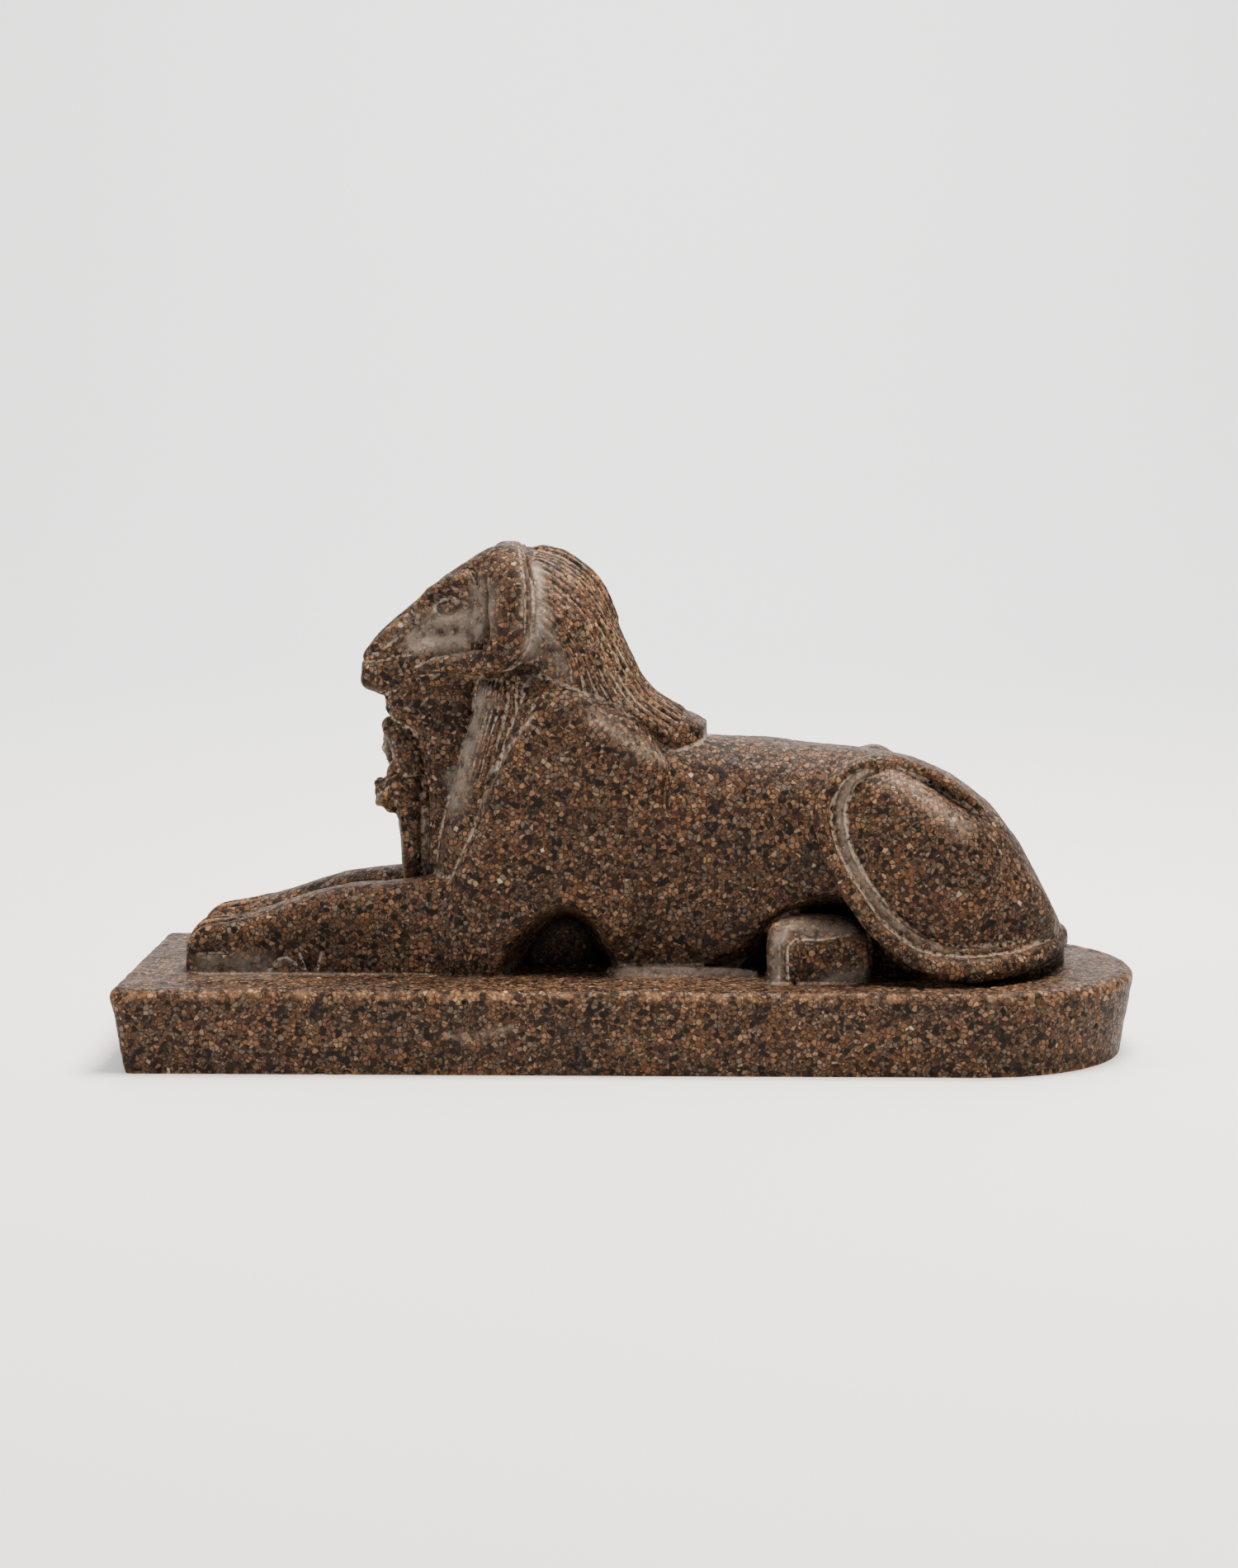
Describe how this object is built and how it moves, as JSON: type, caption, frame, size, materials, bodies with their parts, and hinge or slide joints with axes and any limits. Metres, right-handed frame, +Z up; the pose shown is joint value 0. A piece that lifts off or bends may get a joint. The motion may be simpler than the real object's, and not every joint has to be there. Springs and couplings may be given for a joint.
{
  "type": "ram-headed sphinx statue",
  "caption": "Small cast statue of a lying ram-headed sphinx with a king standing under its chin, on a plinth with a rounded end.",
  "frame": {"origin": "centre of the plinth's underside, on the surface that the statue stands on", "axes": "+Z up, -X the way the ram's head faces, +X towards the rounded end of the plinth, -Y the side that the tail lies on"},
  "size_m": [0.283, 0.09, 0.1423],
  "materials": {
    "cast_granite": "crushed granite grit in clear resin, worn to a soft gloss, brown with rust, grey, black and cream grains"
  },
  "bodies": {
    "root": {"sphinx_statue": "cast_granite"}
  },
  "joints": []
}
